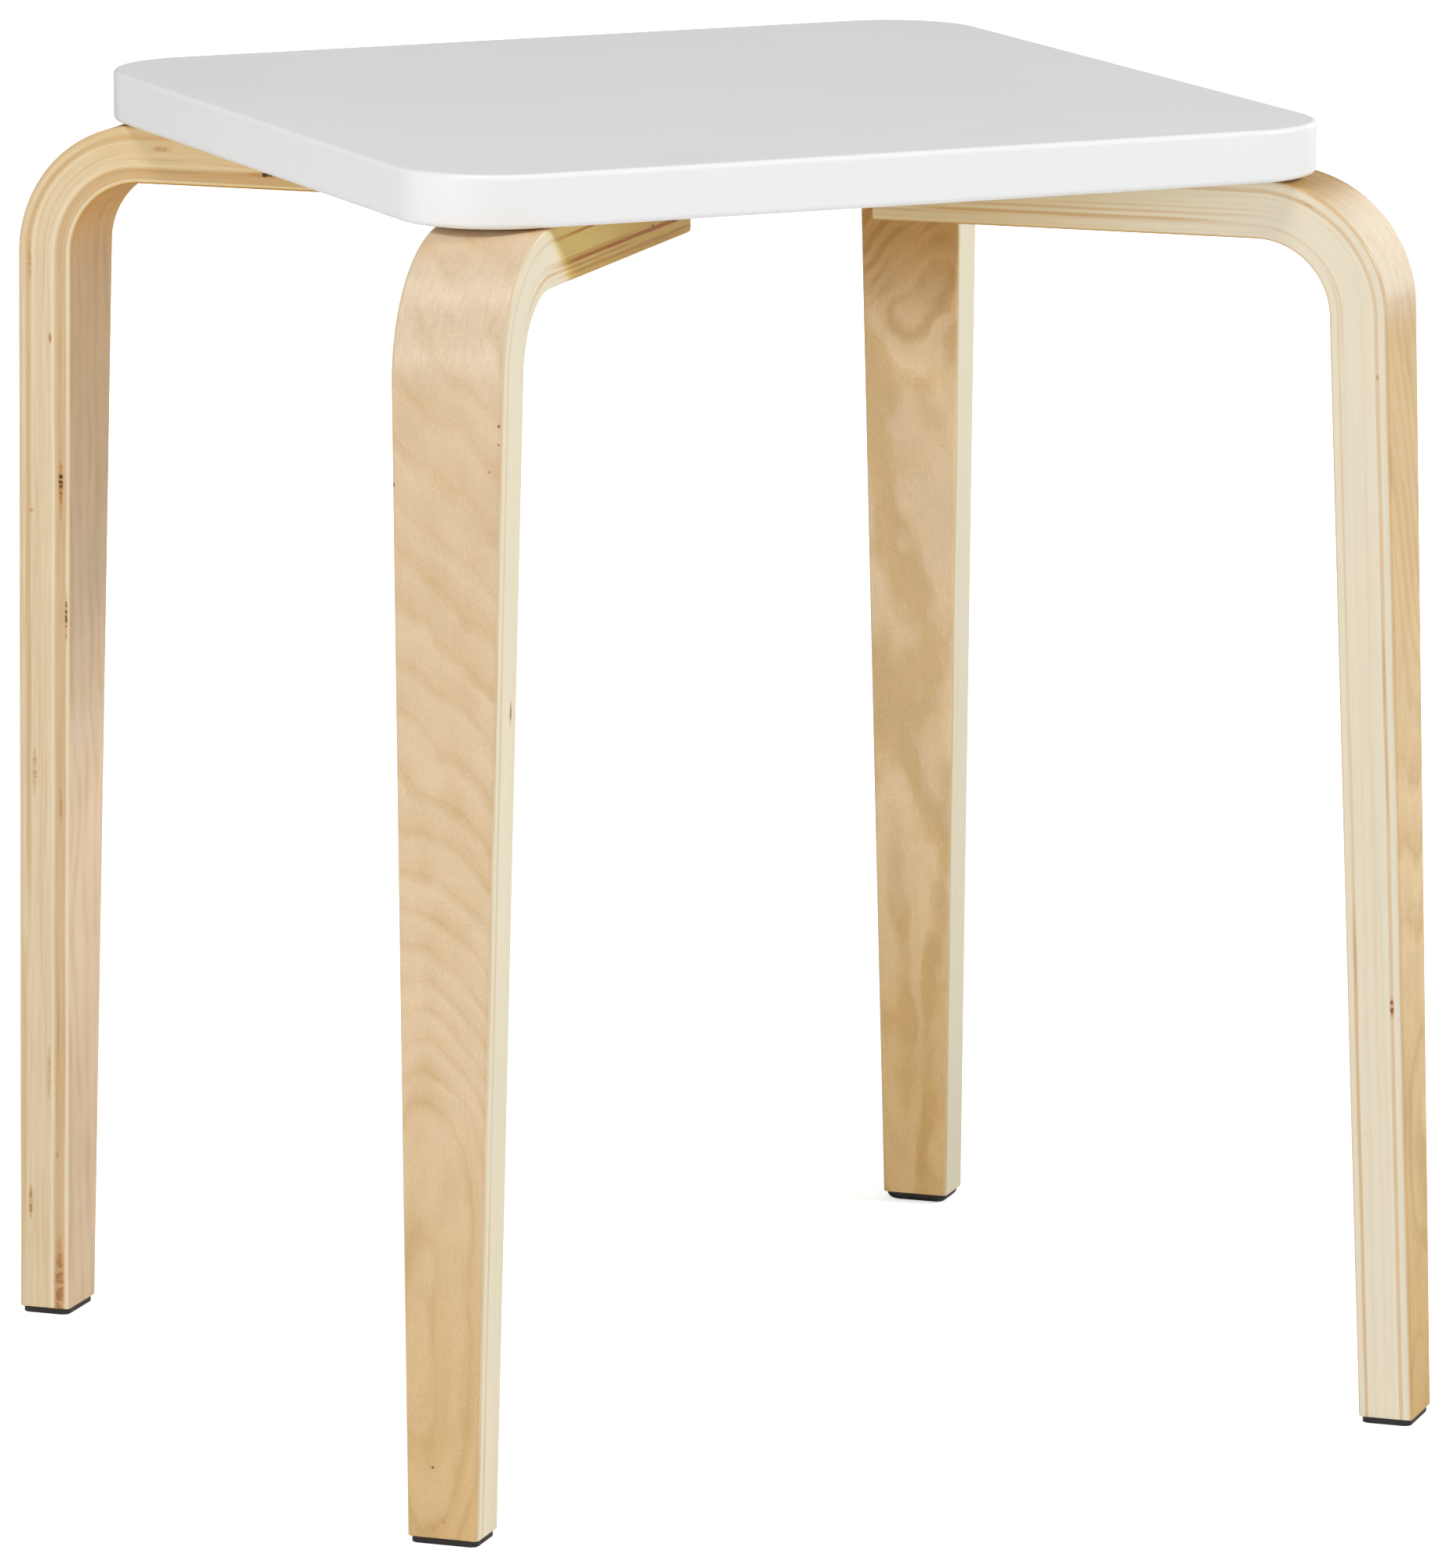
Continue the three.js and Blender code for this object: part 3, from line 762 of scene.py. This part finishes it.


# %% The four legs' figures
# The inner faces' first colours, at the bend, are darker: painted shade under the board.
FIGURES = {
    "front": {
        "seed": 3.1, "tone": 0.12, "side": ((233, 223, 195), (213, 183, 137)),
        "arm_shade": (0.9, 145, 134, 0.0),
        "faces": {
            "outer": ((220, 193, 159), (223, 196, 160), (214, 181, 131)),
            "inner": ((205, 175, 135), (222, 192, 150), (222, 190, 148)),
            "fade": (200.0, 370.0), "pale": 0.35, "contrast": (0.7, 1.0, 0.8),
            "figure": {
                "slope": 1 / 19, "tilt": -0.046, "turn": (600, 700), "stop": 432,
                "wobble": 1.2, "soft": 0.1, "humps": [(500, -1, 104, 23, 5.0)],
            },
        },
        "bands": [
            (0.5, 0.6, 0.5, 150, 600), (4.6, 0.8, 0.4, 110, 600), (4.4, 0.5, 1.3, 0, 122),
            (13.6, 0.7, 1.7, 0, 128), (12.3, 0.4, 0.7, 60, 130), (15.6, 0.6, 0.9, 60, 165),
            (17.5, 0.6, 0.9, 0, 125), (18.9, 0.5, 0.6, 0, 120), (9.0, 2.2, -0.4, 130, 600),
        ],
        "marks": [
            ("side", 301, 13.8, 3.4, 0.8, 0.75), ("side", 39, 12.8, 2.2, 0.8, 0.8),
            ("side", 18, 13.9, 7.0, 0.6, 0.9), ("outer", 220, 15.0, 0.4, 0.4, 0.6),
            ("outer", 205, 18.0, 0.5, 0.5, 0.75), ("outer", 211, 18.0, 0.4, 0.4, 0.6),
            ("outer", 226, -18.4, 0.7, 0.6, 0.7), ("outer", 552, -3.4, 0.5, 0.5, 0.8),
            ("outer", 570, 0.5, 0.8, 0.6, 0.3),
        ],
    },
    "right": {
        "seed": 8.4, "tone": 0.16, "side": ((230, 220, 196), (216, 187, 148)),
        "arm_shade": (0.4, 165, 40, 0.3),
        "faces": {
            "outer": ((212, 178, 122), (221, 188, 134), (209, 171, 99)),
            "inner": ((215, 180, 132), (224, 192, 148), (220, 186, 142)),
            "fade": (200.0, 370.0), "pale": 0.55, "contrast": (1.0, 1.6, 1.0),
            "figure": {
                "slope": 1 / 27, "tilt": -0.11, "turn": (285, 345), "stop": 418.5,
                "wobble": 1.0, "soft": 0.05,
                "humps": [(484, 16, 30, 22, 1.4), (600, 8, 42, 22, 1.4)],
            },
        },
        "bands": [
            (0.4, 0.4, 0.7, 150, 600), (3.9, 0.8, 0.5, 90, 600), (5.1, 0.5, -0.5, 90, 600),
            (14.7, 0.5, 0.9, 20, 120), (12.5, 0.5, 0.5, 30, 140), (10.5, 0.4, 0.4, 60, 150),
            (16.9, 0.5, 0.35, 170, 420), (16.9, 0.6, 0.75, 400, 600), (15.8, 0.5, 0.3, 0, 200),
            (19.9, 0.4, 0.5, 0, 600),
        ],
        "marks": [
            ("side", 430, 3.9, 3.0, 0.7, 0.85), ("side", 151, 3.6, 2.5, 0.5, 0.4),
            ("side", 212, 3.8, 1.0, 0.4, 0.5), ("side", 315, 3.9, 12.0, 0.35, 0.35),
            ("side", 350, 3.8, 14.0, 0.35, 0.3), ("side", 475, 15.2, 0.5, 0.5, 0.1),
        ],
    },
    "back": {
        "seed": 5.7, "tone": 0.08, "side": ((225, 216, 188), (209, 187, 144)),
        "arm_shade": (0.7, 225, 150, 0.3),
        "faces": {
            "outer": ((224, 197, 160), (225, 196, 156), (221, 190, 146)),
            "inner": ((190, 145, 80), (235, 207, 166), (224, 189, 131)),
            "fade": (205.0, 262.0), "pale": 0.1, "contrast": (0.4, 0.4, 1.8),
            "figure": {
                "slope": 1 / 12, "tilt": -0.07, "turn": (215, 245), "stop": 236,
                "wobble": 1.1, "soft": 0.9,
                "humps": [
                    (228, 3, 22, 13, 1.5), (215, -12, 20, 9, 1.2),
                    (325, 26, 50, 14, 1.0), (500, 6, 74, 9, 1.3),
                ],
            },
        },
        "bands": [(0.3, 0.5, 1.2, 400, 600), (20.0, 0.5, 0.8, 200, 600)],
        "marks": [],
    },
    "left": {
        "seed": 1.9, "tone": 0.5, "side": ((230, 213, 182), (210, 182, 140)),
        "arm_shade": (0.4, 215, 120, 0.8),
        "faces": {
            "outer": ((226, 200, 166), (226, 198, 160), (222, 192, 150)),
            "inner": ((222, 187, 138), (230, 204, 171), (215, 188, 155)),
            "fade": (200.0, 370.0), "pale": 0.0, "contrast": (0.6, 0.6, 0.7),
            "figure": {
                "slope": 1 / 150, "tilt": 0.12, "turn": (600, 700), "stop": 600,
                "wobble": 1.8, "soft": 0.7, "humps": [(395, 18, 20, 12, 0.9)],
            },
        },
        "bands": [
            (4.0, 0.9, 0.6, 120, 420), (2.4, 0.8, 0.4, 440, 540), (13.4, 0.5, -0.4, 90, 600),
            (16.2, 1.5, 0.7, 60, 600), (19.5, 0.7, -0.9, 60, 600), (18.2, 0.5, 0.4, 60, 600),
        ],
        "marks": [
            ("side", 273, 16.6, 5.5, 0.9, 1.0), ("side", 280, 16.6, 5.5, 0.6, 0.5),
            ("side", 88, 15.0, 4.5, 0.8, 1.0), ("side", 126, 7.6, 3.0, 0.8, 0.5),
            ("side", 195, 4.7, 5.5, 0.6, 0.45), ("side", 222, 12.4, 1.6, 0.5, 0.6),
            ("side", 378, 6.3, 7.0, 0.7, 0.5), ("side", 390, 16.8, 5.0, 0.6, 0.45),
            ("side", 322, 18.8, 7.5, 0.45, 0.85), ("side", 536, 4.6, 5.0, 0.7, 0.6),
            ("side", 488, 12.0, 8.0, 0.6, 0.4), ("side", 566, 16.4, 14.0, 1.6, 0.62),
            ("side", 518, 15.4, 1.2, 0.5, 0.45), ("side", 284, 5.2, 0.6, 0.9, 0.4),
        ],
    },
}
BIRCH = {leg_name: birch(leg_name, **figure) for leg_name, figure in FIGURES.items()}
for leg_name, figure in FIGURES.items():
    print(leg_name, "leg:", len(figure["bands"]), "bands and", len(figure["marks"]), "knots")


# %% [markdown]
# ## Drilling and finishing the board and the legs
#
# Every hole is its piece's size plus the fit, so a thicker bolt would get a wider hole.


# %% Making the board and the legs
def insert_holes(leg):
    """Two blind holes in the board, for this leg's inserts."""
    radius, end = RIDGE_RADIUS + FIT, BOARD_UNDERSIDE + INSERT_LENGTH + DRILL_SPARE
    start = BOARD_UNDERSIDE - OVERRUN
    return [drill(radius, start, end, centre) for centre in bolt_places(leg)]


def leg_holes(leg):
    """The counterbores, the bolt holes and the nail's hole."""
    tools = []
    for centre in bolt_places(leg):
        counterbore = ARM_UNDERSIDE - OVERRUN, WASHER_TOP + FIT
        tools.append(drill(WASHER_RADIUS + FIT, *counterbore, centre))
        tools.append(drill(BOLT_RADIUS + FIT, ARM_UNDERSIDE, ARM_TOP + OVERRUN, centre))
    foot = foot_level(leg)
    nail_hole = foot - OVERRUN, foot + NAIL_LENGTH + FIT
    tools.append(drill(NAIL_RADIUS + FIT, *nail_hole, foot_place(leg)))
    return tools


board = seat_board()
cut(board, [tool for leg in LEGS.values() for tool in insert_holes(leg)])
smooth(board)
stands_for(board, "seat_board", WHITE_LACQUER)

for leg_name, leg in LEGS.items():
    wooden = skin("bent_leg_" + leg_name, leg_rings(leg))
    cut(wooden, leg_holes(leg))
    smooth(wooden)
    store_grain(leg, wooden)
    stands_for(wooden, "leg_" + leg_name, BIRCH[leg_name])
    print(wooden.name, len(wooden.data.polygons), "faces")

# %% [markdown]
# ## Glides
#
# Three posts stand on flat plastic squares, the fourth on a domed one. Each is an outline that
# draws in towards the floor along a quarter of an ellipse. Moulded plastic isn't quite black, and
# the floor has rubbed it, so its colour and gloss vary with a fine noise.


# %% Black plastic
def black_plastic():
    finish = Finish(bpy.data.materials.new("black_plastic"))
    grit = finish.noise(finish.place(), 1800.0, 3.0, 0.6)
    scuff = finish.noise(finish.place(), 160.0, 2.0)
    worn = finish.ramp(scuff, 0.5, 0.75)
    return finish.surface(
        Base_Color=finish.mix(worn * 0.6, colour(26, 25, 25), colour(58, 56, 54)),
        Roughness=0.42 + grit * 0.2 + worn * 0.1,
        Normal=finish.bump(grit, 0.04 * MM, 0.5),
    )


BLACK_PLASTIC = black_plastic()


# %% Making the glides
def glide(leg):
    """Rings from the floor up: the outline draws in by d(1 - sin a) and rises by r(1 - cos a)."""
    form = GLIDES[leg["glide"]]
    rise, run = quarter(10)
    inset = np.append(form["inset"] + form["draw_in"] * (1 - rise), form["inset"])
    level = np.append(form["rise"] * (1 - run), form["height"])
    if form["height"] == form["rise"]:
        inset, level = inset[:-1], level[:-1]
    outline = rounded_outline(FOOT_THICKNESS - 2 * inset, FOOT_WIDTH - 2 * inset, GLIDE_CORNER)
    middle_x, middle_y = foot_place(leg)
    c, s = cos(radians(leg["heading"])), sin(radians(leg["heading"]))
    x, y = outline[:, :, 0], outline[:, :, 1]
    z = np.broadcast_to(level[:, None], x.shape)
    return np.stack([middle_x + x * c - y * s, middle_y + x * s + y * c, z], -1)


def nail_holes(leg):
    """A recess for the nail's head, and a hole through the glide."""
    centre = foot_place(leg)
    recess = -OVERRUN, NAIL_SINK + NAIL_HEAD_HEIGHT + FIT
    top = GLIDES[leg["glide"]]["height"] + OVERRUN
    return [drill(NAIL_HEAD + FIT, *recess, centre), drill(NAIL_RADIUS + FIT, 0, top, centre)]


for leg_name, leg in LEGS.items():
    foot = skin("foot_glide_" + leg_name, glide(leg))
    cut(foot, nail_holes(leg))
    smooth(foot)
    stands_for(foot, "glide_" + leg_name, BLACK_PLASTIC)

# %% [markdown]
# ## Bolts, washers, inserts and nails
#
# These hold the stool together and show only from below. All are round, so each is turned from
# its profile. The bolt's socket is a hexagon, which is a circle of six steps.


# %% Zinc and brass
def metal(name, base, streak):
    """Plated or drawn metal: faint rings round its axis and a cloudy gloss."""
    finish = Finish(bpy.data.materials.new(name))
    cloud = finish.noise(finish.place(), 420.0, 2.0)
    squeezed = {"Vector": finish.place(), "Scale": (300, 300, 6000)}
    ringed = finish.noise(finish.add("ShaderNodeMapping", {}, squeezed), 1.0, 2.0)
    return finish.surface(
        Base_Color=finish.shade(base, 0.92 + cloud * 0.16),
        Metallic=1.0,
        Roughness=0.24 + cloud * 0.16 + ringed * streak,
        Normal=finish.bump(ringed, 0.01 * MM, 0.4),
    )


ZINC = metal("zinc_steel", colour(190, 194, 200), 0.1)
BRASS = metal("brass", colour(200, 170, 98), 0.14)


# %% Making the fasteners
def bolt(centre):
    """Button head: radius f + (h - f) sin a and level top - k cos a, then the shank and its tip."""
    tip = BOARD_UNDERSIDE + BOLT_REACH
    rise, run = quarter(10)
    crown_radius = HEAD_FLAT + (HEAD_RADIUS - HEAD_FLAT) * rise
    crown = np.stack([crown_radius, HEAD_TOP - HEAD_HEIGHT * run], -1)
    shank = [[BOLT_RADIUS, HEAD_TOP], [BOLT_RADIUS, tip - TIP_LENGTH], [TIP_RADIUS, tip]]
    piece = turned("bolt", [*crown, *shank], centre)
    socket = HEAD_UNDER - OVERRUN, HEAD_UNDER + SOCKET_DEPTH
    cut(piece, [drill(SOCKET_RADIUS, *socket, centre, steps=6)])
    return piece


def washer(centre):
    """A flat ring whose lower outer edge is eased."""
    bore, rim = BOLT_RADIUS + FIT, WASHER_RADIUS
    lower = [[bore, WASHER_UNDER], [rim - WASHER_EASE, WASHER_UNDER]]
    upper = [[rim, WASHER_UNDER + WASHER_EASE], [rim, WASHER_TOP], [bore, WASHER_TOP]]
    return turned("washer", [*lower, *upper], centre, ends="joined")


def threaded_insert(centre):
    """A sleeve with ridges, each half a pitch wide."""
    pitch, top = INSERT_LENGTH / RIDGES, BOARD_UNDERSIDE + INSERT_LENGTH
    ridge = np.arange(RIDGES)[:, None] * pitch + np.array([0, 0.45, 0.55, 0.95]) * pitch
    radius = np.tile([INSERT_RADIUS, INSERT_RADIUS, RIDGE_RADIUS, RIDGE_RADIUS], RIDGES)
    outside = np.stack([radius, BOARD_UNDERSIDE + ridge.ravel()], -1)
    bore = BOLT_RADIUS + FIT
    profile = [[bore, BOARD_UNDERSIDE], *outside, [INSERT_RADIUS, top], [bore, top]]
    return turned("insert", profile, centre, ends="joined")


def nail(leg):
    """The head with its eased edge, the shank and the point."""
    inwards, upwards = NAIL_HEAD_EASE
    head_top = NAIL_SINK + NAIL_HEAD_HEIGHT
    tip = foot_level(leg) + NAIL_LENGTH
    eased = [[NAIL_HEAD - inwards, NAIL_SINK], [NAIL_HEAD, NAIL_SINK + upwards]]
    head = [*eased, [NAIL_HEAD, head_top]]
    shank = [[NAIL_RADIUS, head_top], [NAIL_RADIUS, tip - NAIL_TAPER], [NAIL_POINT, tip]]
    return turned("nail", [*head, *shank], foot_place(leg))


for leg_name, leg in LEGS.items():
    driven = nail(leg)
    smooth(driven)
    driven.name = "nail_" + leg_name
    stands_for(driven, "glide_nail_" + leg_name, ZINC)
    for spot, centre in zip(("inner", "outer"), bolt_places(leg)):
        for make, kind, slot, metal_finish in (
            (bolt, "bolt", "zinc_steel", ZINC),
            (washer, "washer", "zinc_steel", ZINC),
            (threaded_insert, "insert", "brass", BRASS),
        ):
            piece = make(centre)
            smooth(piece)
            piece.name = f"round_{kind}_{leg_name}_{spot}"
            stands_for(piece, f"{kind}_{leg_name}_{spot}", metal_finish)

# %% [markdown]
# ## Floor, light and camera
#
# The floor and the world look white to the camera but don't light the stool any harder for it:
# Light Path tells a camera ray from a light ray. The floor's own white is a plain pale grey, and
# what a camera ray sees of it is lifted, so that it comes out white and still keeps the shadow.


# %% The floor and the world
def white_rays(finish):
    """1 for a ray that comes straight from the camera or through a pane, 0 for any other."""
    path = finish.add("ShaderNodeLightPath", {}, {}).socket.node
    camera_ray = Value(finish, path.outputs["Is Camera Ray"])
    pane_ray = Value(finish, path.outputs["Is Transmission Ray"])
    return 1 - (1 - camera_ray) * (1 - pane_ray)


def floor_finish():
    """Pale paper. Far from the stool the lamps grow weak, so the lift grows with the distance."""
    finish = Finish(bpy.data.materials.new("studio_floor"))
    place = finish.place()
    paper = finish.noise(place, 3.0, 2.0)
    away = finish.add("ShaderNodeVectorMath", {"operation": "LENGTH"}, {0: place}, "Value")
    lift = white_rays(finish) * (0.62 + finish.ramp(away, 0.5, 2.5) * 0.4)
    return finish.surface(
        Base_Color=finish.shade(colour(244, 244, 244), 0.99 + paper * 0.02),
        Roughness=0.9,
        Specular_IOR_Level=0.1,
        Emission_Color=finish.vector(lift, lift, lift),
        Emission_Strength=1.0,
    )


FLOOR_REACH = 14.0
floor_corners = np.array([(-1, -1, 0), (1, -1, 0), (1, 1, 0), (-1, 1, 0)]) * FLOOR_REACH
floor_mesh = bpy.data.meshes.new("floor")
floor_mesh.from_pydata(floor_corners.tolist(), [], [(0, 1, 2, 3)])
floor_mesh.materials.append(floor_finish())
floor = bpy.data.objects.new("floor", floor_mesh)
bpy.context.scene.collection.objects.link(floor)

SKY_LIGHT = 0.3
studio = Finish(bpy.data.worlds.new("studio"))
bpy.context.scene.world = studio.owner
strength = SKY_LIGHT + white_rays(studio) * (1 - SKY_LIGHT)
background = {"Color": (1.0, 1.0, 1.0, 1.0), "Strength": strength}
white = studio.add("ShaderNodeBackground", {}, background)
studio.add("ShaderNodeOutputWorld", {}, {"Surface": white})


# %% Lamps
def soft_lamp(name, heading, height, size, strength, distance=3.1):
    """A square lamp that faces the stool from a heading and a height, both in degrees.

    A lamp of P watts lights a surface that faces it as strongly as a white sky of strength
    P / (pi^2 d^2) would, so the strength asked for gives the watts.
    """
    light = bpy.data.lights.new(name, "AREA")
    light.shape = "SQUARE"
    light.size = size
    light.energy = strength * pi**2 * distance**2
    lamp = bpy.data.objects.new(name, light)
    middle = Vector((0, 0, SEAT_TOP / 2))
    a, e = radians(heading), radians(height)
    lamp.location = middle + distance * Vector((cos(a) * cos(e), sin(a) * cos(e), sin(e)))
    lamp.rotation_euler = (middle - lamp.location).to_track_quat("-Z", "Y").to_euler()
    bpy.context.scene.collection.objects.link(lamp)
    print(f"{name}: {light.energy:.0f} W")


soft_lamp("right_softbox", heading=330, height=30, size=0.5, strength=0.44)
soft_lamp("front_softbox", heading=238, height=8, size=1.2, strength=0.145)
soft_lamp("left_softbox", heading=203, height=13, size=0.8, strength=0.16)
soft_lamp("overhead", heading=208, height=62, size=1.0, strength=0.38)
soft_lamp("back_softbox", heading=28, height=13, size=1.6, strength=0.15)

# %% [markdown]
# ## Camera
#
# The photo was taken from some way off with a long lens, which keeps the board's far sides nearly
# parallel to its near ones. The lens in millimetres is for Blender's 36 mm wide sensor, laid
# along the picture's longer side.

# %% The camera
EYE = Vector((-1.33523, -3.04961, 0.88379))
AIM = Vector((0.00686, -0.00302, 0.20637))

view = bpy.data.cameras.new("camera")
view.lens = 222.69
view.sensor_width = 36
view.clip_end = 100
camera = bpy.data.objects.new("camera", view)
camera.location = EYE
camera.rotation_euler = (AIM - EYE).to_track_quat("-Z", "Y").to_euler()
bpy.context.scene.collection.objects.link(camera)
bpy.context.scene.camera = camera
bpy.context.scene.view_settings.view_transform = "Standard"
print("camera to stool:", round((AIM - EYE).length, 3), "m")
